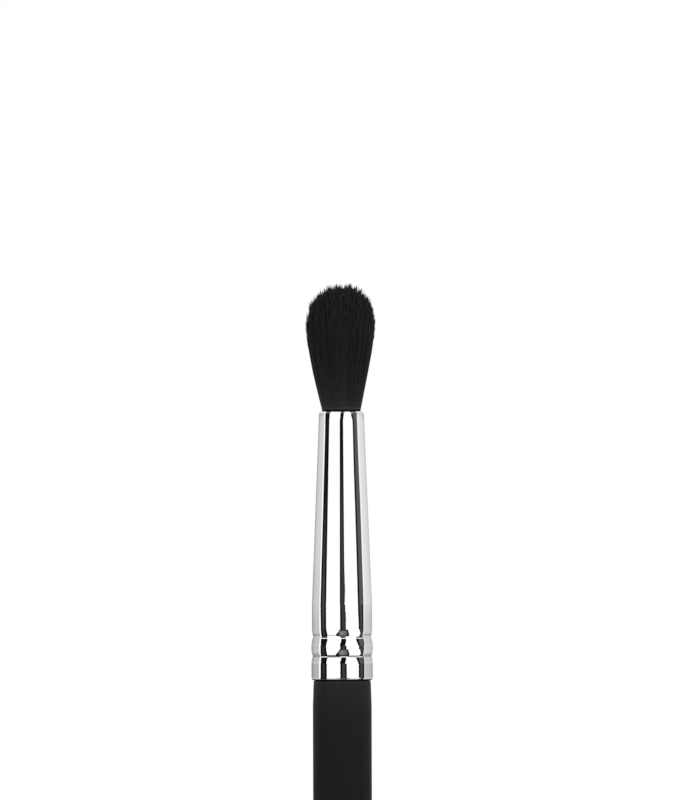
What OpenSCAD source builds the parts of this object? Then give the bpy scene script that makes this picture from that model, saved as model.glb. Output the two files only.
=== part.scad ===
// Eyeshadow brush: a domed hair tuft set in a crimped metal ferrule on a turned wooden handle.
// The brush stands upright on its own axis. The origin is the centre of the handle's tail end,
// and +Z runs along the axis to the tip of the hair. All sizes are in millimetres.

/* [Handle] */
// Length of the handle from its tail end to the ferrule's lower edge
handle_len = 125; // [90:1:160]
// Diameter of the straight shank, the thickest stretch of the handle
shank_d = 7; // [6.4:0.1:9]
// Length of the straight shank
shank_len = 10; // [5:1:20]
// Diameter of the neck where it meets the ferrule
neck_d = 6.8; // [6.4:0.1:8]
// Length over which the neck swells to the shank
neck_len = 3; // [1:0.5:8]
// Radius of the eased edge around the top of the neck
neck_edge = 0.1; // [0.05:0.05:0.3]
// Diameter of the rounded tail
tail_d = 4.6; // [3:0.1:6]
// Length of the tenon that the ferrule holds
tenon_len = 13; // [9:0.5:16]
// Bevel around the top of the tenon
tenon_bevel = 0.6; // [0.2:0.1:1.2]

/* [Ferrule] */
// Length of the ferrule
ferrule_len = 32; // [28:0.1:40]
// Outside diameter of the straight stretch above the crimps
ferrule_d = 7.16; // [6.8:0.02:8]
// How far the collar that the crimps divide stands out from that stretch
collar_rise = 0.07; // [0.02:0.01:0.11]
// Outside diameter at the mouth
mouth_d = 5.32; // [4.6:0.02:6.6]
// Height at which the straight stretch ends and the taper begins
straight_len = 9; // [7.6:0.1:14]
// Thickness of the drawn tube
ferrule_wall = 0.35; // [0.25:0.05:0.5]

/* [Crimps] */
// Height of the lower crimp above the ferrule's lower edge
crimp_low = 2.85; // [2:0.05:3.2]
// Distance from the lower crimp to the upper one
crimp_gap = 2.35; // [2.25:0.05:3]
// Depth of a crimp below the face above it
crimp_depth = 0.13; // [0.05:0.01:0.14]
// Radius of the hollow that the roller leaves
hollow_r = 0.5; // [0.2:0.1:0.8]
// Radius of the shoulders that roll into the hollow
shoulder_r = 3.4; // [1.6:0.1:3.8]
// Depth of the fine line that the roller cuts along the bottom of the lower crimp
line_depth = 0.03; // [0.01:0.01:0.05]

/* [Hair] */
// Largest diameter of the tuft
belly_d = 8.26; // [6:0.02:10]
// Height of the widest stretch above the ferrule's mouth
belly_h = 10.65; // [8:0.05:14]
// Height of the dome above the widest stretch
dome_h = 4.2; // [3:0.1:6]
// How far the dome's hair ends lie apart in height
ragged = 0.5; // [0:0.1:1]
// Number of strands in the tuft
strands = 400; // [300:10:500]

/* [Root] */
// Depth of the set root's top below the ferrule's mouth
set_depth = 0.8; // [0.4:0.1:1.5]
// Height of the slice of root that carries the strands
slice_h = 1; // [0.6:0.1:2]
// Length of the bound root below that slice
root_len = 9.6; // [6:0.1:12]
// Height of the thread's band above the root's butt
thread_h = 1.6; // [1:0.1:3]
// Width of the band of thread
thread_band = 1.8; // [1:0.1:2.4]
// Thickness of the band of thread
thread_t = 0.3; // [0.2:0.05:0.4]
// Bevel around the root's butt
butt_bevel = 0.4; // [0.1:0.1:0.8]
// Depth of the resin below the root's butt
resin_below = 1.4; // [0.8:0.1:2]
// Height of the resin above the root's butt
resin_above = 5.6; // [4.5:0.1:8]

/* [Fits] */
// Clearance between pieces that seat in each other
seat_gap = 0.03; // [0.02:0.01:0.08]
// Thickness of the adhesive film around the tenon
glue_film = 0.1; // [0.05:0.01:0.15]

/* [Hidden] */
// Overrun of every cut
over = 1;
// Heights along the brush
mouth_z = handle_len + ferrule_len;
slice_z = mouth_z - set_depth - slice_h;
butt_z = slice_z - root_len;
crimp_high = crimp_low + crimp_gap;
// Radii of the ferrule's outer face
ferrule_r = ferrule_d / 2;
collar_r = ferrule_r + collar_rise;
// The lips are rounded over the whole wall, most of it from outside
lip_share = 0.85;
lip_r = ferrule_wall * lip_share;
lip_inner_r = ferrule_wall - lip_r;
// Insets from the ferrule's outer face to the faces of what it holds
glue_inset = ferrule_wall + seat_gap;
tenon_inset = glue_inset + glue_film + seat_gap;
// Radius of the bundle of hair, where it passes the mouth and all along its root
bundle_r = mouth_d / 2 - ferrule_wall - seat_gap;
thread_r = bundle_r - thread_t;
// The handle's taper closes as a power of the way down to the tail
taper_power = 1.5;
taper_steps = 20;
// Largest turn between two points of an outline's arc
arc_turn = 5;
// The tuft swells fast at the mouth and slowly at its belly
swell_share = 0.29;
swell_power = 3.5;
// Each strand turns by the golden angle from the last, so that they are spread evenly
golden_angle = 137.508;
strand_sides = 3;
// Corner radius of a strand, as a share of the tuft's radius, times the root of their number
strand_share = 0.66;
// Heights of a strand's rings, as shares of its length above the mouth
ring_shares = [0.42, 0.8];
// A strand's end lies up or down by the next of these shares of the ragged height
rag_count = 7;
rag_step = 3;
// Turn of the fine line's two flanks from the wall
line_turn = 19;
smooth = 96;

// Outer radius of the taper at a height above the ferrule's lower edge
function cone_r(h) = ferrule_r + (mouth_d - ferrule_d) / 2 * (h - straight_len)
    / (ferrule_len - straight_len);

// Radius of the handle's taper at a share of the way from its tail up to the shank
function taper_r(u) = shank_d / 2 - (shank_d - tail_d) / 2 * pow(1 - u, taper_power);

// Radius of the tuft at a height above the mouth
function tuft_r(h) = let (t = min(max(h / belly_h, 0), 1))
    bundle_r + (belly_d / 2 - bundle_r) * (t + swell_share * (t - pow(t, swell_power)));

// Corner radius of a strand at a height above the mouth
function strand_r(h) = tuft_r(h) * strand_share / sqrt(strands);

// Share of the tuft's radius at which a strand stands, and its turn around the axis
function strand_place(k) = sqrt((k + 0.5) / strands);
function strand_turn(k) = k * golden_angle;

// Height of a strand's end above the mouth: the ends make a dome
function strand_end(k) = belly_h + dome_h * sqrt(1 - pow(strand_place(k), 2))
    - ragged * (k * rag_step % rag_count) / rag_count;

// A strand's point at a height above the mouth, off its centre line by a corner radius
function strand_point(k, h, r, side) = let (out = strand_place(k) * (tuft_r(h) - r),
        turn = strand_turn(k), corner = turn + side * 360 / strand_sides)
    [out * cos(turn) + r * cos(corner), out * sin(turn) + r * sin(corner), h];

// Points on an arc around a centre, between two angles from the outward direction
function arc(x, y, r, from, to) =
    let (steps = ceil(abs(to - from) / arc_turn))
    [
        for (k = [0 : steps])
            let (a = from + (to - from) * k / steps)
                [x + r * cos(a), y + r * sin(a)]
    ];

// A list without its first item, without its two ends, and from its last item to its first
function rest(list) = [for (k = [1 : len(list) - 1]) list[k]];
function inside(list) = [for (k = [1 : len(list) - 2]) list[k]];
function reversed(list) = [for (k = [len(list) - 1 : -1 : 0]) list[k]];

// Half of a crimp, from the shoulder's top on a face to the hollow's bottom. It lies above the
// crimp's height, or below it where side is -1. The two arcs meet in line.
function crimp_side(height, face_r, bottom_r, side, inset) =
    let (span = hollow_r + shoulder_r,
        turn = acos((span - face_r + bottom_r) / span) * side)
    concat(
        arc(face_r - shoulder_r, height + span * sin(turn), shoulder_r - inset, 0, -turn),
        rest(arc(bottom_r + hollow_r, height, hollow_r + inset, 180 - turn, 180))
    );

// A whole crimp from its lower shoulder on the collar to its upper one on the face above it
function crimp_points(height, face_r, inset) =
    let (bottom_r = face_r - crimp_depth)
    concat(
        crimp_side(height, collar_r, bottom_r, -1, inset),
        rest(reversed(crimp_side(height, face_r, bottom_r, 1, inset)))
    );

// The wall's face from one height to another, inset from the ferrule's outer face
function wall_points(inset, low, high) = concat(
    [[collar_r - inset, low]],
    crimp_points(crimp_low, collar_r, inset),
    crimp_points(crimp_high, ferrule_r, inset),
    [[ferrule_r - inset, straight_len], [cone_r(high) - inset, high]]
);

// Half outline of what fills the ferrule up to an inset, between two heights
module filling(inset, low, high) {
    intersection() {
        polygon(concat(
            [[0, -over]],
            wall_points(inset, -over, ferrule_len + over),
            [[0, ferrule_len + over]]
        ));
        translate([0, low])
            square([collar_r, high - low]);
    }
}

// Hair: tapered strands that fan out of the set root and end in a dome, trimmed to its height
module bristles() {
    color("#222222")
        translate([0, 0, slice_z])
            resize([0, 0, slice_h + set_depth + belly_h + dome_h])
                union() {
                    cylinder(r = bundle_r, h = slice_h, $fn = 60);
                    translate([0, 0, slice_h + set_depth])
                        for (k = [0 : strands - 1])
                            strand(k);
                }
}

// One strand, from the middle of the slice, past a ring in the slice's top, to its pointed end
module strand(k) {
    end = strand_end(k);
    heights = [-set_depth - slice_h / 2, -set_depth, ring_shares[0] * end, ring_shares[1] * end];
    last = len(heights) * strand_sides;
    polyhedron(
        points = [
            for (h = heights, side = [0 : strand_sides - 1]) strand_point(k, h, strand_r(h), side),
            strand_point(k, end, 0, 0),
        ],
        faces = [
            [for (side = [0 : strand_sides - 1]) side],
            for (ring = [0 : len(heights) - 2], side = [0 : strand_sides - 1])
                let (a = ring * strand_sides + side, b = ring * strand_sides + (side + 1) % strand_sides)
                    each [[a, a + strand_sides, b], [b, a + strand_sides, b + strand_sides]],
            for (side = [0 : strand_sides - 1])
                [last - strand_sides + side, last, last - strand_sides + (side + 1) % strand_sides],
        ]
    );
}

// Bound root of the hair: a waisted bundle with a bevelled butt
module root_bundle() {
    color("#2c2622")
        translate([0, 0, butt_z])
            rotate_extrude($fn = smooth)
                polygon([
                    [0, 0],
                    [bundle_r - butt_bevel, 0],
                    [bundle_r, butt_bevel],
                    [bundle_r, thread_h],
                    [thread_r, thread_h],
                    [thread_r, thread_h + thread_band],
                    [bundle_r, thread_h + thread_band],
                    [bundle_r, root_len],
                    [0, root_len],
                ]);
}

// Thread tied around the waist of the root, as one tight band
module binding_thread() {
    color("#d8d2c0")
        translate([0, 0, butt_z + thread_h])
            rotate_extrude($fn = smooth)
                translate([thread_r + seat_gap, seat_gap])
                    square([thread_t - seat_gap, thread_band - seat_gap * 2]);
}

// Resin poured around and below the root, which locks it in the ferrule's taper
module resin_plug() {
    color("#b9a06a")
        rotate_extrude($fn = smooth)
            difference() {
                translate([0, handle_len])
                    filling(glue_inset, butt_z - resin_below - handle_len,
                        butt_z + resin_above - handle_len);
                translate([0, butt_z])
                    polygon([
                        [0, -seat_gap],
                        [bundle_r - butt_bevel + seat_gap, -seat_gap],
                        [bundle_r + seat_gap, butt_bevel - seat_gap],
                        [bundle_r + seat_gap, resin_above + over],
                        [0, resin_above + over],
                    ]);
            }
}

// Ferrule: a drawn tube with a straight crimped collar, a long taper and two rounded lips
module ferrule() {
    high = ferrule_len - lip_r;
    inner_high = ferrule_len - lip_inner_r;
    color("#d9d9dc")
        translate([0, 0, handle_len])
            rotate_extrude($fn = smooth)
                difference() {
                    polygon(concat(
                        wall_points(0, lip_r, high),
                        rest(arc(cone_r(high) - lip_r, high, lip_r, 0, 90)),
                        reversed(rest(arc(cone_r(inner_high) - lip_r, inner_high, lip_inner_r, 180, 90))),
                        reversed(wall_points(ferrule_wall, lip_inner_r, inner_high)),
                        rest(arc(collar_r - lip_r, lip_inner_r, lip_inner_r, 180, 270)),
                        inside(arc(collar_r - lip_r, lip_r, lip_r, 270, 360))
                    ));
                    fine_line();
                }
}

// Half outline of the fine line's cut, a flat notch with its point at the line's bottom
module fine_line() {
    bottom_r = collar_r - crimp_depth - line_depth;
    reach = over / tan(line_turn);
    polygon([
        [bottom_r, crimp_low],
        [bottom_r + over, crimp_low - reach],
        [bottom_r + over, crimp_low + reach],
    ]);
}

// Adhesive film between the tenon and the ferrule, crimped with them
module handle_glue() {
    color("#cdbb8a")
        translate([0, 0, handle_len])
            rotate_extrude($fn = smooth)
                difference() {
                    filling(glue_inset, lip_r, tenon_len - tenon_bevel);
                    filling(glue_inset + glue_film, -over / 2, tenon_len);
                }
}

// Handle: a turned and lacquered rod with a rounded tail, a swelling taper, a neck and a tenon
module handle() {
    tail_r = tail_d / 2;
    shank_low = handle_len - neck_len - shank_len;
    neck_top = handle_len - seat_gap;
    color("#1f1f1f")
        rotate_extrude($fn = smooth)
            union() {
                polygon(concat(
                    [[0, 0]],
                    rest(arc(0, tail_r, tail_r, -90, 0)),
                    [for (k = [1 : taper_steps])
                        let (u = k / taper_steps)
                            [taper_r(u), tail_r + (shank_low - tail_r) * u]],
                    [[shank_d / 2, handle_len - neck_len]],
                    arc(neck_d / 2 - neck_edge, neck_top - neck_edge, neck_edge, 0, 90),
                    [[0, neck_top]]
                ));
                translate([0, handle_len])
                    tenon_outline();
            }
}

// Half outline of the tenon, which the crimps grip
module tenon_outline() {
    top_r = min(cone_r(tenon_len), ferrule_r) - tenon_inset;
    difference() {
        filling(tenon_inset, -over / 2, tenon_len);
        polygon([
            [top_r - tenon_bevel, tenon_len],
            [top_r + tenon_bevel, tenon_len - tenon_bevel * 2],
            [top_r + tenon_bevel, tenon_len + over],
            [top_r - tenon_bevel, tenon_len + over],
        ]);
    }
}

bristles();
root_bundle();
binding_thread();
resin_plug();
ferrule();
handle_glue();
handle();
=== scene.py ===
import math

import bpy
import numpy as np
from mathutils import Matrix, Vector


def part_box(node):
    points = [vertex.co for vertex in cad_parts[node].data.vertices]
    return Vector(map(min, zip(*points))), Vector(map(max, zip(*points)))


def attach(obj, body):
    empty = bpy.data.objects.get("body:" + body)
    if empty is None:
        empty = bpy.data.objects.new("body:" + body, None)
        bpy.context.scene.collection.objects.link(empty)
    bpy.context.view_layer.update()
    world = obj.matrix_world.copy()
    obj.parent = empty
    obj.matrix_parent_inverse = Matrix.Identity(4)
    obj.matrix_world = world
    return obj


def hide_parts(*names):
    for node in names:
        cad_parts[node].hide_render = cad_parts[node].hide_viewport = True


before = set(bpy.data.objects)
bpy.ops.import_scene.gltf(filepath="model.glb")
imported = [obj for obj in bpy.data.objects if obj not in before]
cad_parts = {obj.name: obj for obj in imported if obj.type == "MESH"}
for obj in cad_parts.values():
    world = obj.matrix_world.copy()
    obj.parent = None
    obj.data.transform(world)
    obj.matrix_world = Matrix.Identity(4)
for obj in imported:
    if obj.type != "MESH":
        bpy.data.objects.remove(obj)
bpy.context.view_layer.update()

# The eyeshadow brush, dressed: hair, ferrule and handle as fine meshes over the fixed frame.
# Lengths are in metres and written as millimetres times MM. Heights named h are above the ferrule's lower
# edge in the ferrule's functions and above its mouth in the tuft's.
MM = 0.001

# Sizes read from the frame
ferrule_low, ferrule_top = (corner.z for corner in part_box("ferrule"))
collar_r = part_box("ferrule")[1].x
handle_low, handle_top = (corner.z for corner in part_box("handle"))
shank_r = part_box("handle")[1].x
root_low, tuft_top = (corner.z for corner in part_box("bristles"))
top_h = ferrule_top - ferrule_low

# Ferrule, as heights above its lower edge and radii
ferrule_r = 3.58 * MM
mouth_r = 2.66 * MM
straight_len = 9 * MM
wall = 0.35 * MM
lip_r = wall * 0.85
lip_inner_r = wall - lip_r
crimp_heights = (2.85 * MM, 5.2 * MM)
crimp_depth = 0.13 * MM
hollow_r = 0.5 * MM
shoulder_r = 3.4 * MM
line_depth = 0.036 * MM
line_turn = math.radians(19)
line_edge = 0.02 * MM
mouth_ease = 0.85 * MM
mouth_turn = math.radians(1.6)

# Crisp corners: the width of their edge, and the degrees of arc that they take the place of
corner_edge = 0.02 * MM
shoulder_corner = 5.4
lip_corner = (20.8, 26.8)

# Steps of the ferrule's curves. Its hidden inner wall has this many times fewer.
inside_cut = 4
shoulder_steps = 20
hollow_steps = 12
taper_steps = 96
mouth_lip_steps = (5, 12)
inner_lip_steps = 6
low_lip_steps = 16
ferrule_sides = 256

# Handle
neck_r = 3.4 * MM
neck_len = 3 * MM
neck_edge = 0.1 * MM
seat_gap = 0.03 * MM
shank_len = 10 * MM
tail_r = 2.3 * MM
taper_power = 1.5
tenon_r = 3.07 * MM
tail_steps = 18
swell_steps = 48
neck_steps = 8
handle_sides = 192

# Tuft, as an outline that its hair fills, and the set root under it
belly_r = 4.16 * MM
belly_h = 10.65 * MM
root_r = 2.28 * MM
swell_share = 0.29
swell_power = 3.5
dome_slant = 0.055
dome_power = 2.5
tuft_bend = -0.1 * MM
bend_h = 4 * MM
root_edge_h = 1 * MM
root_middle_h = 1.05 * MM
root_sides = 96

# Hair: the heights of its points, from the mouth and from its end, and its thickness
hair_count = 9000
hair_pieces = 3
hair_seed = 7
hair_scatter = 0.004
hair_set = 0.6 * MM
hair_levels = (0, 2.2 * MM, 4.6 * MM, 7 * MM)
end_cuts = (2.4 * MM, 1.3 * MM, 0.8 * MM, 0.4 * MM)
hair_r = 0.043 * MM
hair_tip_r = 0.01 * MM
hair_sides = 3
tip_len = 1.4 * MM
tip_power = 0.7
golden_angle = math.radians(137.508)
least_share = 1e-6

# Clumps: where they are, how they gather, and how high and how far out they end
clump_count = 600
clump_turn = 1
clump_scatter = 0.012
clump_reach = 1.3 * MM
clump_pull = 0.85
pull_power = 1.5
clump_point = 0.5 * MM
clump_lift = 0.03 * MM
clump_rise = 0.6 * MM
rise_power = 2.5
stray = 0.15 * MM
lean = 0.8
lean_fall = 0.8
lean_power = 4
lean_in = 0.2 * MM
lean_out = 0.07 * MM
drop_from = 0.85
rim_drop = 0.3 * MM

# Loose hairs, and the hairs of the rim that end low
loose_share = 0.12
loose_least = 0.2
loose_rise = 0.3 * MM
loose_flare = 0.08 * MM
rim_from = 0.92
rim_share = 0.27
rim_low = 1.9 * MM
rim_most = 0.8

# Levels by height, as (millimetres above a datum, level) pairs. They paint light and shade into the colour.
# The hair's: a painted shadow line where it goes into the mouth, a painted bright ring just above it, and
# painted light that fades from the mouth up the tuft and rises again near its top
hair_painted_shading = [(0.1, 0.009), (0.21, 0.024), (0.33, 0.052), (0.45, 0.028), (1.4, 0.0205), (4, 0.0163),
               (8, 0.0145), (11, 0.02), (14, 0.024)]
# The lacquer's: painted light that grows towards the ferrule, and a painted shadow line on the neck's edge
# just under the ferrule's lower lip
lacquer_painted_shading = [(-13, 0.0098), (-5, 0.0112), (-2.5, 0.0138), (-0.45, 0.016), (-0.25, 0.0205),
                  (-0.12, 0.021), (-0.07, 0.002)]

# Hidden nodes: material, dark colour, light colour, noise scale, roughness
fillers = {
    "root_bundle": ("set_root", (0.02, 0.016, 0.012), (0.05, 0.04, 0.03), 3000, 0.5),
    "binding_thread": ("thread", (0.5, 0.46, 0.36), (0.72, 0.68, 0.56), 2500, 0.8),
    "resin_plug": ("amber_resin", (0.38, 0.26, 0.08), (0.5, 0.36, 0.13), 700, 0.25),
    "handle_glue": ("adhesive", (0.5, 0.42, 0.24), (0.64, 0.55, 0.34), 900, 0.35),
}

# Studio that gloss sees, as linear levels and as directions in degrees. A direction is told by the wall
# that mirrors it to the camera: its azimuth is twice the wall's turn, positive to the camera's right,
# and its rise is twice the wall's tilt.
panel_level = 1.06
fill_level = 0.9
table_level = 0.002
stand_level = 0.005

# Dark stands, as (rise, azimuth) pairs of their left and right borders, from low to high
stand_rises = (-64, 130)
strip_rises = ((33.4, 38), (45, 52))
left_stand = (
    [(-35, -89.5), (-25, -91), (-8, -89.5), (-0.7, -89.3), (-0.4, -91.3), (4.4, -91.2), (5.2, -90.4),
     (5.8, -90.2), (5.95, -91.7), (9, -91.7), (10, -88), (30, -90.5)],
    [(-35, -59.7), (-27, -59.7), (-17, -60.5), (-8, -63), (-0.72, -59.8), (-0.6, -63.2), (-0.3, -63.9),
     (4.4, -63.5), (4.8, -64.1), (5.6, -64.5), (10, -61.7), (25, -59)])
middle_stand = (
    [(-35, -7), (-30, -25), (-25, -24), (-20, -19), (-15, -15), (-11, -11), (-7, -8), (-0.7, -6.9),
     (-0.4, -7.5), (4.4, -8.2), (5.6, -8.8), (6.5, -7), (8, -5.5), (9, -5.5), (9.4, -8), (11, -8),
     (20, -4.4), (30, -3.2)],
    [(-35, 17.5), (-30, 28), (-25, 28), (-12, 24.5), (-7, 21), (-3, 16.5), (-0.7, 17.5),
     (-0.53, 16.5), (-0.42, 14.5), (-0.33, 16), (-0.31, 12), (4.34, 10), (4.42, 14), (4.54, 9.5),
     (5, 9), (5.6, 8), (6.5, 8.5), (8, 12), (10, 12), (20, 15.5)])
right_stand = (
    [(-35, 65), (-25, 76), (-17, 75), (-8, 70), (-3, 69), (-0.78, 65), (-0.6, 67.2), (-0.47, 67.2),
     (-0.36, 63.8), (4.33, 63.5), (4.6, 63), (5, 61), (5.3, 58.8), (5.65, 58), (6.2, 56.5), (7, 53.5),
     (8, 50.5), (9, 48), (9.4, 62.5), (11, 62.5), (18, 58.7), (30, 56), (48, 49), (80, 44)],
    [(-25, 88), (-16, 90.5), (-3, 91.5), (-0.95, 92.5), (-0.8, 90.8), (4.4, 91.6), (5.17, 91),
     (5.35, 89), (5.72, 86.8), (8.6, 85), (9, 94), (30, 94), (48, 84)])

# The stands' paler cores: where they begin and end, as shares of the stand's width, and their levels, by
# rise in the fades. The right one's pairs are for rises above and below 0. The heart is a grey patch low
# on the middle stand.
left_core_span = (0.3, 0.7)
left_core_level = 0.06
left_core_fade = [(-0.6, 0.5), (-0.4, 1), (4.35, 1), (4.6, 0.6), (4.8, 0.55), (5.2, 0.15)]
middle_core_span = (0.3, 0.75)
middle_core_fade = [(4.9, 0.046), (5.3, 0.006)]
right_core_start = 0.28
right_core_ends = (1.2, 0.76)
right_core_levels = (0.095, 0.058)
heart_azimuths = (-13, 20)
heart_rises = (-28, -11.5)
heart_greys = [(-13, 0.12), (0, 0.24), (8, 0.17), (20, 0.12)]

# Grey sides beyond two azimuths, in two bands of rises. Their levels by azimuth are multiplied by those by
# rise, and by those by the direction's own height in degrees. A bright line runs along the right stand.
left_side = -98
right_side = 84
side_rises = ((-33, 52), (-52, -44))
side_by_rise = [(-50, 0.33), (-31, 0.44), (-27, 0.54), (-23, 0.72), (-18, 0.83), (-2, 0.84), (3.5, 1),
                (7.5, 1), (9.5, 0.85), (14, 0.78), (22, 0.8), (30, 0.84), (36, 0.82), (48, 0.48)]
side_by_height = [(-1.2, 1), (-0.95, 0.8), (-0.64, 0.8), (-0.58, 0.9), (-0.5, 0.92), (-0.36, 0.93),
                  (-0.29, 1.04), (-0.1, 1.04), (0.5, 1)]
left_greys = [(-175, 0.3), (-147, 0.51), (-135, 0.63), (-117, 0.69), (-98, 0.7)]
left_by_rise = [(3.5, 1), (4.25, 0.91), (4.45, 0.94), (4.7, 1)]
right_greys = [(99, 0.86), (104, 0.79), (119, 0.78), (134, 0.71), (150, 0.66), (175, 0.48)]
bright_line = 5.3
side_blue = 0.985

# Rails, table and roof. A pair of the last two is for directions between the grey sides and beyond them.
front_azimuths = (-60, -8)
thin_rail_rises = (-31.5, -28.6)
low_rail_rises = (-52, -31.5)
upper_rail_rises = (43.5, 52)
upper_grey_azimuths = (20, 60)
upper_grey = 0.45
table_rises = (-66, -60)
roof_rises = (130, 105)
roof_greys = (0.35, 0.2)

# Floor and lamps, with lengths in metres and power in watts
floor_r = 400 * MM
floor_sides = 96
floor_grey = 0.8
floor_glow = 0.3
lamps = (("lamp_right", (0.5, -0.35, 0.45), 2.2), ("lamp_left", (-0.55, -0.3, 0.4), 1.2))
lamp_width = 0.4
lamp_height = 0.6
lamp_aim = (0, 0, 0.13)

# Camera: places in the photograph's pixels, lens and sensor in millimetres, end of its view in metres
photo_size = (685, 800)
pixel = 1 * MM / 8.4
axis_x = 341.88
mouth_y = 411.3
eye_y = 564
roll = math.radians(0.16)
lens = 395
sensor = 36
view_end = 10


def lathe(name, outline, sides, closed=False):
    """A solid turned about z from (radius, height) points. It has a pole where a radius is zero, and a
    closed outline joins its last point to its first."""
    turns = np.arange(sides) * (2 * math.pi / sides)
    verts, rings = [], []
    for r, z in outline:
        if r == 0:
            rings.append([len(verts)])
            verts.append((0.0, 0.0, z))
        else:
            rings.append(list(range(len(verts), len(verts) + sides)))
            verts.extend((r * math.cos(a), r * math.sin(a), z) for a in turns)
    faces = []
    for low, high in zip(rings, rings[1:] + rings[:1] if closed else rings[1:]):
        for i in range(sides):
            j = (i + 1) % sides
            if len(low) == 1:
                faces.append((low[0], high[j], high[i]))
            elif len(high) == 1:
                faces.append((low[i], low[j], high[0]))
            else:
                faces.append((low[i], low[j], high[j], high[i]))
    mesh = bpy.data.meshes.new(name)
    mesh.from_pydata(verts, [], faces)
    mesh.update()
    return add_piece(name, mesh)


def add_piece(name, mesh):
    """Puts a smooth-shaded mesh in the scene as a piece that rides on the root."""
    mesh.polygons.foreach_set("use_smooth", [True] * len(mesh.polygons))
    piece = bpy.data.objects.new(name, mesh)
    bpy.context.scene.collection.objects.link(piece)
    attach(piece, "root")
    return piece


def arc(centre, radius, start, end, steps):
    """Points on an arc, with angles in degrees from the outward direction."""
    angles = [math.radians(start + (end - start) * k / max(steps, 1)) for k in range(steps + 1)]
    return [(centre[0] + radius * math.cos(a), centre[1] + radius * math.sin(a)) for a in angles]


def cone_r(h):
    """Outer radius of the ferrule's taper at a height above its lower edge, eased in below the lip."""
    ease = max(h - (top_h - lip_r - mouth_ease), 0) / mouth_ease
    taper = (mouth_r - ferrule_r) * (h - straight_len) / (top_h - straight_len)
    return ferrule_r + taper - math.tan(mouth_turn) * mouth_ease * ease ** 2 / 2


def corner_arc(centre, radius, start, low, high, end, steps):
    """Arc whose part from low to high is a crisp corner instead, with close points beside it."""
    before = arc(centre, radius, start, low, steps[0])
    after = arc(centre, radius, high, end, steps[1])
    middle = math.radians((low + high) / 2)
    reach = radius / math.cos(math.radians(high - low) / 2)
    corner = (centre[0] + reach * math.cos(middle), centre[1] + reach * math.sin(middle))
    return before + [close_point(before[-1], corner), corner, close_point(after[0], corner)] + after


def close_point(start, corner):
    """The point on the line from start to the corner that lies a quarter of an edge's width before it."""
    share = corner_edge / 4 / math.dist(start, corner)
    return corner[0] + (start[0] - corner[0]) * share, corner[1] + (start[1] - corner[1]) * share


def crimp_side(height, face_r, bottom_r, side, inset, lined=False):
    """Arc of a crimp's shoulder and of half its hollow, from the plain wall to the hollow's bottom, or
    to the bottom of the fine line that is cut along it."""
    cut = inside_cut if inset else 1
    span = hollow_r + shoulder_r
    rise = math.acos((span - face_r + bottom_r) / span)
    reach = span * math.sin(rise)
    turn = math.degrees(rise) * side
    shoulder = corner_arc((face_r - shoulder_r, height + side * reach), shoulder_r - inset,
        0, 0, -shoulder_corner * side, -turn, (0, shoulder_steps // cut))
    stop = math.asin(line_depth / math.tan(line_turn) / hollow_r) if lined else 0
    hollow = arc((bottom_r + hollow_r, height), hollow_r + inset,
        180 - turn, 180 - math.degrees(stop) * side, hollow_steps // cut)
    points = shoulder + hollow[1:]
    if lined:
        points += fine_line(points[-1], (bottom_r - line_depth, height))
    return points


def fine_line(start, end):
    """One flank of the fine line, with close points at its ends so that it looks flat."""
    edge = line_edge / math.dist(start, end)
    return [(start[0] + (end[0] - start[0]) * share, start[1] + (end[1] - start[1]) * share)
            for share in (edge / 2, edge, 1 - edge, 1 - edge / 2, 1)]


def wall_points(inset, low, high):
    """Outline of the ferrule's wall between two heights, inset from its outer face, with close points
    beside its corners so that they look crisp. The lower crimp has a fine line, on the outer face alone."""
    points = [(collar_r - inset, low), (collar_r - inset, low + corner_edge)]
    for height, face_r in zip(crimp_heights, (collar_r, ferrule_r)):
        lined = inset == 0 and height == crimp_heights[0]
        points += crimp_side(height, collar_r, face_r - crimp_depth, -1, inset, lined)
        points += crimp_side(height, face_r, face_r - crimp_depth, 1, inset, lined)[::-1][1:]
    points.append((ferrule_r - inset, straight_len - corner_edge))
    points.append((ferrule_r - inset, straight_len))
    steps = taper_steps // (inside_cut if inset else 1)
    for k in range(steps + 1):
        h = straight_len + corner_edge + (high - straight_len - 2 * corner_edge) * k / steps
        points.append((cone_r(h) - inset, h))
    points.append((cone_r(high) - inset, high))
    return points


def make_ferrule():
    """The drawn tube: outer wall up, over the mouth's lip, down inside, and around the lower lip."""
    high, inner_high = top_h - lip_r, top_h - lip_inner_r
    outline = wall_points(0, lip_r, high)
    outline += corner_arc((cone_r(high) - lip_r, high), lip_r, 0, *lip_corner, 90, mouth_lip_steps)[1:]
    outline += arc((cone_r(inner_high) - lip_r, inner_high), lip_inner_r, 90, 180, inner_lip_steps)[:-1]
    outline += wall_points(wall, lip_inner_r, inner_high)[::-1]
    outline += arc((collar_r - lip_r, lip_inner_r), lip_inner_r, 180, 270, inner_lip_steps)[1:]
    outline += arc((collar_r - lip_r, lip_r), lip_r, 270, 360, low_lip_steps)[1:-1]
    return lathe("ferrule_shell", [(r, ferrule_low + h) for r, h in outline], ferrule_sides, closed=True)


def make_handle():
    """The lacquered rod: round tail, swelling taper, straight shank, neck with an eased edge, tenon."""
    centre = handle_low + tail_r
    tail = arc((0, centre), tail_r, -90, 0, tail_steps)
    outline = [(0.0, tail[0][1])] + tail[1:]
    shank_low = ferrule_low - neck_len - shank_len
    for k in range(1, swell_steps + 1):
        share = k / swell_steps
        r = shank_r - (shank_r - tail_r) * (1 - share) ** taper_power
        outline.append((r, centre + (shank_low - centre) * share))
    outline.append((shank_r, ferrule_low - neck_len))
    neck_top = ferrule_low - seat_gap
    outline += arc((neck_r - neck_edge, neck_top - neck_edge), neck_edge, 0, 90, neck_steps)
    outline += [(tenon_r, neck_top), (tenon_r, handle_top), (0.0, handle_top)]
    return lathe("handle_body", outline, handle_sides)


def tuft_r(h):
    """Radius of the tuft at heights above the mouth."""
    t = np.clip(h / belly_h, 0, 1)
    return root_r + (belly_r - root_r) * (t + swell_share * (t - t ** swell_power))


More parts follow.
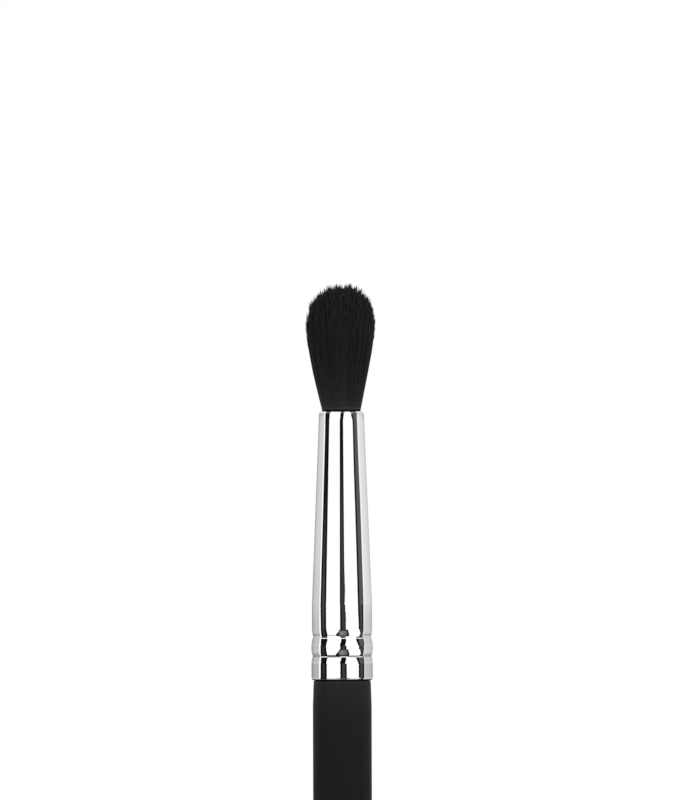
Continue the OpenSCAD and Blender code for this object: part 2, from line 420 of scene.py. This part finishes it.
def spread(count, turn, scatter, rng):
    """Points spread evenly over the unit disc, a little out of order."""
    index = np.arange(count)
    share = np.sqrt((index + 0.5) / count)
    angle = index * golden_angle + turn
    spots = np.stack([share * np.cos(angle), share * np.sin(angle)], 1)
    spots += rng.normal(0, scatter, spots.shape)
    return spots / np.maximum(np.linalg.norm(spots, axis=1), 1)[:, None]


def splay(share):
    """How far a hair's end leans outward: most at half of the tuft's radius, least at its rim."""
    return lean * share * (1 - lean_fall * share ** lean_power)


def make_hair():
    """Thousands of tapered hairs that fan out of the mouth and gather in small uneven points."""
    rng = np.random.default_rng(hair_seed)
    spots = spread(hair_count, 0, hair_scatter, rng)
    clumps = spread(clump_count, clump_turn, clump_scatter, rng)
    apart = np.linalg.norm(spots[:, None, :] - clumps[None, :, :], axis=2)
    nearest = apart.argmin(1)
    off_centre = apart.min(1) * math.sqrt(clump_count)

    # A clump's end lies on the dome, where its lean takes it, and above or below it by chance
    share = np.linalg.norm(clumps, axis=1)
    end_share = np.minimum(share + splay(share) * clump_reach / 2 / belly_r, 1)
    end_x = clumps[:, 0] / np.maximum(share, least_share) * end_share * belly_r
    dome_h = tuft_top - ferrule_top - belly_h
    clump_end = belly_h + dome_h * np.sqrt(1 - end_share ** dome_power) + dome_slant * end_x
    clump_end += clump_rise * rng.uniform(0, 1, clump_count) ** rise_power + clump_lift
    at_rim = np.clip((end_share - drop_from) / (1 - drop_from), 0, 1)
    clump_end -= rim_drop * at_rim * rng.uniform(0, 1, clump_count) ** 2
    ends = clump_end[nearest] - clump_point * off_centre ** 2 - stray * rng.uniform(0, 1, hair_count)

    # Clumps lean unevenly, most of them inward, so that single points stand out at the rim
    uneven = rng.uniform(-lean_in, lean_out, clump_count) * share ** 2

    # Loose hairs keep out of the clumps and stand a little farther out
    is_loose = rng.uniform(0, 1, hair_count) < loose_share
    loose = np.where(is_loose, rng.uniform(loose_least, 1, hair_count), 0)
    ends += loose_rise * loose

    # Some hairs of the rim end low and stand out a little
    low_end = (np.linalg.norm(spots, axis=1) > rim_from) & (rng.uniform(0, 1, hair_count) < rim_share)
    loose = np.where(low_end, rng.uniform(loose_least, rim_most, hair_count), loose)
    ends -= np.where(low_end, rim_low * rng.uniform(0, 1, hair_count), 0)

    start = root_low + hair_set - ferrule_top
    stations = [np.full(hair_count, h) for h in (start, *hair_levels)]
    stations += [ends - cut for cut in end_cuts] + [ends]
    target = clumps[nearest]
    target_share = np.linalg.norm(target, axis=1)
    outward = target / np.maximum(target_share, least_share)[:, None]
    rows, radii = [], []
    for h in stations:
        below_end = ends - h
        near = np.clip(1 - below_end / clump_reach, 0, 1)
        pull = np.where(loose > 0, 0, clump_pull * near ** pull_power)[:, None]
        place = spots * (1 - pull) + target * pull
        flare = splay(target_share) * clump_reach / 2
        flare += np.where(loose > 0, loose_flare * loose, uneven[nearest])
        out = place * (tuft_r(h) - hair_r)[:, None] + outward * (flare * near ** 2)[:, None]
        ease = np.clip(h / bend_h, 0, 1)
        out[:, 0] += tuft_bend * ease * ease * (3 - 2 * ease)
        rows.append(np.column_stack([out, h + ferrule_top]))
        thin = np.clip(below_end / tip_len, 0, 1)
        radii.append(hair_tip_r + (hair_r - hair_tip_r) * thin ** tip_power)
    spin = rng.uniform(0, 2 * math.pi, hair_count)
    index = np.arange(hair_count)
    return [hair_mesh(f"tuft_hair_{part + 1}", index[index % hair_pieces == part], rows, radii, spin)
            for part in range(hair_pieces)]


def hair_mesh(name, chosen, rows, radii, spin):
    """One mesh of three-sided hairs through the given rows of points, each closed by its end point."""
    count = len(chosen)
    ring_count = len(rows) - 1
    per_hair = ring_count * hair_sides + 1
    verts = np.zeros((count, per_hair, 3))
    for k in range(ring_count):
        for side in range(hair_sides):
            a = spin[chosen] + side * 2 * math.pi / hair_sides
            corner = np.column_stack([np.cos(a), np.sin(a), np.zeros(count)])
            verts[:, k * hair_sides + side] = rows[k][chosen] + corner * radii[k][chosen][:, None]
    verts[:, -1] = rows[-1][chosen]
    one = []
    for k in range(ring_count - 1):
        for side in range(hair_sides):
            a = k * hair_sides + side
            b = k * hair_sides + (side + 1) % hair_sides
            one += [(a, b, b + hair_sides), (a, b + hair_sides, a + hair_sides)]
    last = (ring_count - 1) * hair_sides
    one += [(last + side, last + (side + 1) % hair_sides, per_hair - 1) for side in range(hair_sides)]
    one.append(tuple(reversed(range(hair_sides))))
    faces = np.array(one)[None, :, :] + (np.arange(count) * per_hair)[:, None, None]
    mesh = bpy.data.meshes.new(name)
    mesh.from_pydata(verts.reshape(-1, 3).tolist(), [], faces.reshape(-1, 3).tolist())
    mesh.update()
    return add_piece(name, mesh)


def make_root():
    """The set root that fills the ferrule below the mouth, under the hair."""
    outline = [(0.0, root_low), (root_r, root_low), (root_r, root_low + root_edge_h),
        (0.0, root_low + root_middle_h)]
    return lathe("tuft_root", outline, root_sides)


class Graph:
    """A node tree, with short calls for the few nodes used here."""

    def __init__(self, tree):
        self.nodes = tree.nodes
        self.links = tree.links

    def feed(self, socket, value):
        """Links an output to a socket, or sets the socket to a constant."""
        if isinstance(value, bpy.types.NodeSocket):
            self.links.new(value, socket)
        else:
            socket.default_value = value

    def math(self, operation, *values):
        node = self.nodes.new("ShaderNodeMath")
        node.operation = operation
        for socket, value in zip(node.inputs, values):
            self.feed(socket, value)
        return node.outputs["Value"]

    def both(self, first, second):
        """1 where two masks are 1, and 0 elsewhere."""
        return self.math("MULTIPLY", first, second)

    def either(self, first, second):
        """1 where one of two masks is 1, and 0 elsewhere."""
        return self.math("MAXIMUM", first, second)

    def within(self, value, low, high):
        """1 where a value lies between two others, and 0 elsewhere."""
        return self.both(self.math("GREATER_THAN", value, low), self.math("LESS_THAN", value, high))

    def between(self, value, bands):
        """1 where a value lies in either of two (low, high) bands, and 0 elsewhere."""
        first, second = bands
        return self.either(self.within(value, *first), self.within(value, *second))

    def blend(self, share, first, second):
        """A value between two others by a share."""
        node = self.nodes.new("ShaderNodeMix")
        for name, value in (("Factor_Float", share), ("A_Float", first), ("B_Float", second)):
            self.feed(next(s for s in node.inputs if s.identifier == name), value)
        return next(s for s in node.outputs if s.identifier == "Result_Float")

    def mix(self, share, first, second):
        """A colour between two others by a share. A number stands for a grey."""
        node = self.nodes.new("ShaderNodeMix")
        node.data_type = "RGBA"
        self.feed(node.inputs["Factor"], share)
        for name, value in (("A_Color", first), ("B_Color", second)):
            socket = next(s for s in node.inputs if s.identifier == name)
            self.feed(socket, (value, value, value, 1) if isinstance(value, (int, float)) else value)
        return next(s for s in node.outputs if s.identifier == "Result_Color")

    def remap(self, value, from_low, from_high, to_low, to_high):
        """A value moved from one span to another, and held at its ends."""
        node = self.nodes.new("ShaderNodeMapRange")
        numbers = {"From Min": from_low, "From Max": from_high, "To Min": to_low, "To Max": to_high}
        for name, number in numbers.items():
            self.feed(node.inputs[name], number)
        self.feed(node.inputs["Value"], value)
        return node.outputs["Result"]

    def track(self, value, stops):
        """A value through (from, to) pairs with straight lines between, from the lowest up."""
        result = stops[0][1]
        for (x0, y0), (x1, y1) in zip(stops, stops[1:]):
            step = self.remap(value, x0, x1, 0, y1 - y0)
            result = self.math("ADD", step, result)
        return result

    def ramp(self, value, stops):
        """A colour ramp over a value, from (position, colour) stops. A new ramp has two elements."""
        node = self.nodes.new("ShaderNodeValToRGB")
        band = node.color_ramp
        for _ in stops[2:]:
            band.elements.new(0.5)
        for element, (position, colour) in zip(band.elements, stops):
            element.position = position
            element.color = (*colour, 1) if isinstance(colour, tuple) else (colour, colour, colour, 1)
        self.feed(node.inputs["Fac"], value)
        return node.outputs["Color"]

    def coords(self, name="Object"):
        return self.nodes.new("ShaderNodeTexCoord").outputs[name]

    def noise(self, scale, stretch=1, detail=3):
        """Noise in the object's own space, drawn out along z where the stretch is small."""
        mapping = self.nodes.new("ShaderNodeMapping")
        mapping.inputs["Scale"].default_value = (1, 1, stretch)
        self.links.new(self.coords(), mapping.inputs["Vector"])
        node = self.nodes.new("ShaderNodeTexNoise")
        node.inputs["Scale"].default_value = scale
        node.inputs["Detail"].default_value = detail
        self.links.new(mapping.outputs["Vector"], node.inputs["Vector"])
        return node.outputs["Fac"]

    def height(self):
        """Height of the shaded point in the object's own space."""
        node = self.nodes.new("ShaderNodeSeparateXYZ")
        self.links.new(self.coords(), node.inputs["Vector"])
        return node.outputs["Z"]

    def by_height(self, datum, stops):
        """A level over height, from (millimetres above a datum, level) pairs."""
        return self.track(self.height(), [(datum + above * MM, level) for above, level in stops])

    def tint(self, colour, factor):
        """A colour times a value."""
        node = self.nodes.new("ShaderNodeVectorMath")
        node.operation = "SCALE"
        self.links.new(colour, node.inputs[0])
        self.feed(node.inputs["Scale"], factor)
        return node.outputs["Vector"]

    def bump(self, value, strength, distance):
        node = self.nodes.new("ShaderNodeBump")
        node.inputs["Strength"].default_value = strength
        node.inputs["Distance"].default_value = distance
        self.links.new(value, node.inputs["Height"])
        return node.outputs["Normal"]


def new_material(name):
    """A node material, as its graph and its shader."""
    material = bpy.data.materials.new(name)
    material.use_nodes = True
    return material, Graph(material.node_tree), material.node_tree.nodes["Principled BSDF"]


def hair_material():
    """Near-black fine hair with painted light and shade by height: a painted shadow line at the mouth and
    lighter near it. Slightly warmer and lighter single hairs.
    """
    material, graph, shader = new_material("dark_hair")
    fibres = graph.noise(scale=9000, stretch=0.03)
    strands = graph.ramp(fibres, [(0.3, 0.96), (0.55, 1), (0.8, (1.08, 1.075, 1.06))])
    # Painted light and shade by height above the mouth
    level = graph.by_height(ferrule_top, hair_painted_shading)
    graph.feed(shader.inputs["Base Color"], graph.tint(strands, level))
    shader.inputs["Roughness"].default_value = 0.6
    shader.inputs["Specular IOR Level"].default_value = 0.12
    return material


def metal_material():
    """Polished plated metal with a faint drawn grain and light handling marks."""
    material, graph, shader = new_material("polished_plate")
    grain = graph.noise(scale=900, stretch=0.05)
    marks = graph.noise(scale=260, detail=4)
    graph.feed(shader.inputs["Base Color"], graph.ramp(grain, [(0.3, 0.94), (0.7, 0.97)]))
    graph.feed(shader.inputs["Roughness"], graph.ramp(marks, [(0.35, 0.01), (0.75, 0.035)]))
    shader.inputs["Metallic"].default_value = 1
    return material


def lacquer_material():
    """Black satin lacquer over wood, with the wood's grain barely showing through, painted light towards
    the ferrule and a painted shadow line just under it.
    """
    material, graph, shader = new_material("black_satin_lacquer")
    grain = graph.noise(scale=2600, stretch=0.02, detail=5)
    haze = graph.noise(scale=420)
    shade = graph.ramp(grain, [(0.35, 0.92), (0.7, 1.08)])
    # Painted light towards the ferrule, and a painted shadow line just under its lower edge
    level = graph.by_height(ferrule_low, lacquer_painted_shading)
    graph.feed(shader.inputs["Base Color"], graph.tint(shade, level))
    graph.feed(shader.inputs["Roughness"], graph.ramp(haze, [(0.3, 0.34), (0.7, 0.44)]))
    shader.inputs["Specular IOR Level"].default_value = 0.03
    graph.feed(shader.inputs["Normal"], graph.bump(grain, strength=0.12, distance=0.01 * MM))
    return material


def filler_material(name, dark, light, scale, roughness):
    """A plain sealed-in material, such as resin, adhesive or thread, with uneven colour."""
    material, graph, shader = new_material(name)
    uneven = graph.noise(scale, detail=4)
    graph.feed(shader.inputs["Base Color"], graph.ramp(uneven, [(0.3, dark), (0.7, light)]))
    shader.inputs["Roughness"].default_value = roughness
    graph.feed(shader.inputs["Normal"], graph.bump(uneven, strength=0.4, distance=0.05 * MM))
    return material


def dress(piece, material):
    """Gives a piece or a carried-over node one material in every slot."""
    if piece.data.materials:
        for k in range(len(piece.data.materials)):
            piece.data.materials[k] = material
    else:
        piece.data.materials.append(material)


def studio_directions(graph):
    """Azimuth and rise, by which a direction is told, and its own height, all in degrees."""
    split = graph.nodes.new("ShaderNodeSeparateXYZ")
    graph.links.new(graph.coords("Generated"), split.inputs["Vector"])
    across, up = split.outputs["X"], split.outputs["Z"]
    toward = graph.math("SUBTRACT", 1, split.outputs["Y"])
    flat = graph.math("SQRT", graph.math("ADD", graph.math("MULTIPLY", across, across),
        graph.math("MULTIPLY", toward, toward)))
    azimuth = graph.math("DEGREES", graph.math("MULTIPLY", graph.math("ARCTAN2", across, toward), 2))
    rise = graph.math("DEGREES", graph.math("MULTIPLY", graph.math("ARCTAN2", up, flat), 2))
    return azimuth, rise, graph.math("DEGREES", up)


def side_level(graph, azimuth, rise, height):
    """Level of the grey sides, darker near the table and beside the low rail, with the bright line."""
    near = graph.math("MULTIPLY", graph.track(rise, side_by_rise), graph.track(height, side_by_height))
    left = graph.math("MULTIPLY", graph.track(azimuth, left_greys), graph.track(rise, left_by_rise))
    line_end = graph.math("ADD", graph.track(rise, right_stand[1]), bright_line)
    on_line = graph.math("LESS_THAN", azimuth, line_end)
    right = graph.blend(on_line, graph.track(azimuth, right_greys), 1)
    return graph.math("MULTIPLY", graph.blend(graph.math("GREATER_THAN", azimuth, 0), left, right), near)


def add_stands(graph, azimuth, rise, level):
    """Dark stands with paler cores, each broken by strips of light, and the middle one's heart."""
    low_wall = graph.math("LESS_THAN", rise, 0)
    left_core = graph.math("MULTIPLY", graph.track(rise, left_core_fade), left_core_level)
    middle_core = graph.track(rise, middle_core_fade)
    right_core = graph.blend(low_wall, *right_core_levels)
    right_end = graph.blend(low_wall, *right_core_ends)
    depth = graph.both(graph.within(rise, *stand_rises),
        graph.math("SUBTRACT", 1, graph.between(rise, strip_rises)))
    for borders, core, core_low, core_high in (
            (left_stand, left_core, *left_core_span),
            (middle_stand, middle_core, *middle_core_span),
            (right_stand, right_core, right_core_start, right_end)):
        left, right = (graph.track(rise, border) for border in borders)
        inside = graph.both(graph.within(azimuth, left, right), depth)
        place = graph.remap(azimuth, left, right, 0, 1)
        level_inside = graph.blend(graph.within(place, core_low, core_high), stand_level, core)
        level = graph.blend(inside, level, level_inside)
    heart = graph.both(graph.within(azimuth, *heart_azimuths), graph.within(rise, *heart_rises))
    return graph.blend(heart, level, graph.track(azimuth, heart_greys))


def add_rails(graph, azimuth, rise, beyond, level):
    """Dark rails in front, which the low crimp's fine line shows best, the dark table under the brush and
    the grey roof far above it."""
    front = graph.within(azimuth, *front_azimuths)
    upper = graph.within(rise, *upper_rail_rises)
    upper_right = graph.both(upper, graph.within(azimuth, *upper_grey_azimuths))
    level = graph.blend(upper_right, level, upper_grey)
    thin_rail = graph.both(graph.within(rise, *thin_rail_rises), front)
    low_rail = graph.both(graph.within(rise, *low_rail_rises), graph.within(azimuth, left_side, right_side))
    table = graph.math("LESS_THAN", rise, graph.blend(beyond, *table_rises))
    dark = graph.either(graph.either(thin_rail, low_rail), graph.either(graph.both(upper, front), table))
    level = graph.blend(dark, level, table_level)
    roof = graph.math("GREATER_THAN", rise, graph.blend(beyond, *roof_rises))
    return graph.blend(roof, level, graph.blend(beyond, *roof_greys))


def make_world():
    """White studio surround. Gloss sees its stands, its grey sides and its dark table, from anywhere."""
    world = bpy.data.worlds.new("studio")
    bpy.context.scene.world = world
    world.use_nodes = True
    graph = Graph(world.node_tree)
    azimuth, rise, height = studio_directions(graph)
    beyond = graph.either(graph.math("LESS_THAN", azimuth, left_side),
        graph.math("GREATER_THAN", azimuth, right_side))
    side = graph.both(beyond, graph.between(rise, side_rises))
    level = graph.blend(side, panel_level, side_level(graph, azimuth, rise, height))
    level = add_stands(graph, azimuth, rise, level)
    level = add_rails(graph, azimuth, rise, beyond, level)

    # The grey sides are a little warm
    colour = graph.nodes.new("ShaderNodeCombineColor")
    graph.feed(colour.inputs["Red"], level)
    graph.feed(colour.inputs["Green"], level)
    graph.feed(colour.inputs["Blue"], graph.math("MULTIPLY", level, graph.blend(side, 1, side_blue)))

    # The camera sees plain white, gloss sees the surround, and the rest is lit by a plain level
    path = graph.nodes.new("ShaderNodeLightPath").outputs
    seen = graph.mix(path["Is Glossy Ray"], fill_level, colour.outputs["Color"])
    graph.feed(graph.nodes["Background"].inputs["Color"], graph.mix(path["Is Camera Ray"], seen, 1))
    graph.nodes["Background"].inputs["Strength"].default_value = 1


def make_floor():
    """A pale floor under the brush that turns white towards the camera and keeps the shadow."""
    mesh = bpy.data.meshes.new("floor")
    turns = np.linspace(0, 2 * math.pi, floor_sides, endpoint=False)
    ring = [(floor_r * math.cos(a), floor_r * math.sin(a), 0.0) for a in turns]
    mesh.from_pydata(ring, [], [tuple(range(floor_sides))])
    floor = bpy.data.objects.new("floor", mesh)
    bpy.context.scene.collection.objects.link(floor)
    floor.visible_glossy = False
    material, graph, shader = new_material("pale_floor")
    shader.inputs["Base Color"].default_value = (floor_grey, floor_grey, floor_grey, 1)
    shader.inputs["Roughness"].default_value = 0.9
    shader.inputs["Specular IOR Level"].default_value = 0
    shader.inputs["Emission Color"].default_value = (1, 1, 1, 1)
    seen = graph.nodes.new("ShaderNodeLightPath").outputs["Is Camera Ray"]
    graph.feed(shader.inputs["Emission Strength"], graph.math("MULTIPLY", seen, floor_glow))
    mesh.materials.append(material)


def make_lamps():
    """Two broad soft lamps, a little stronger from the right."""
    for name, place, power in lamps:
        light = bpy.data.lights.new(name, "AREA")
        light.shape = "RECTANGLE"
        light.size = lamp_width
        light.size_y = lamp_height
        light.energy = power
        lamp = bpy.data.objects.new(name, light)
        lamp.location = place
        lamp.rotation_euler = (Vector(lamp_aim) - Vector(place)).to_track_quat("-Z", "Y").to_euler()
        lamp.visible_glossy = False
        bpy.context.scene.collection.objects.link(lamp)


def make_camera():
    """A long lens a little below the middle of the ferrule, looking slightly up."""
    photo_w, photo_h = photo_size
    camera_data = bpy.data.cameras.new("camera")
    camera_data.lens = lens
    camera_data.sensor_width = sensor
    camera_data.sensor_fit = "AUTO"
    camera_data.clip_end = view_end
    distance = photo_h * pixel * lens / sensor
    pitch = math.atan((eye_y - photo_h / 2) * pixel / distance)
    camera = bpy.data.objects.new("camera", camera_data)
    camera.location = ((photo_w / 2 - axis_x) * pixel, -distance, ferrule_top + (mouth_y - eye_y) * pixel)
    camera.rotation_euler = (math.radians(90) + pitch, roll, 0)
    bpy.context.scene.collection.objects.link(camera)
    bpy.context.scene.camera = camera


ferrule_shell = make_ferrule()
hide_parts("ferrule")
dress(ferrule_shell, metal_material())

handle_body = make_handle()
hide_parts("handle")
dress(handle_body, lacquer_material())

hair = hair_material()
for piece in make_hair() + [make_root()]:
    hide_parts("bristles")
    dress(piece, hair)

for node, finish in fillers.items():
    dress(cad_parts[node], filler_material(*finish))

make_world()
make_floor()
make_lamps()
make_camera()
bpy.context.scene.view_settings.view_transform = "Standard"
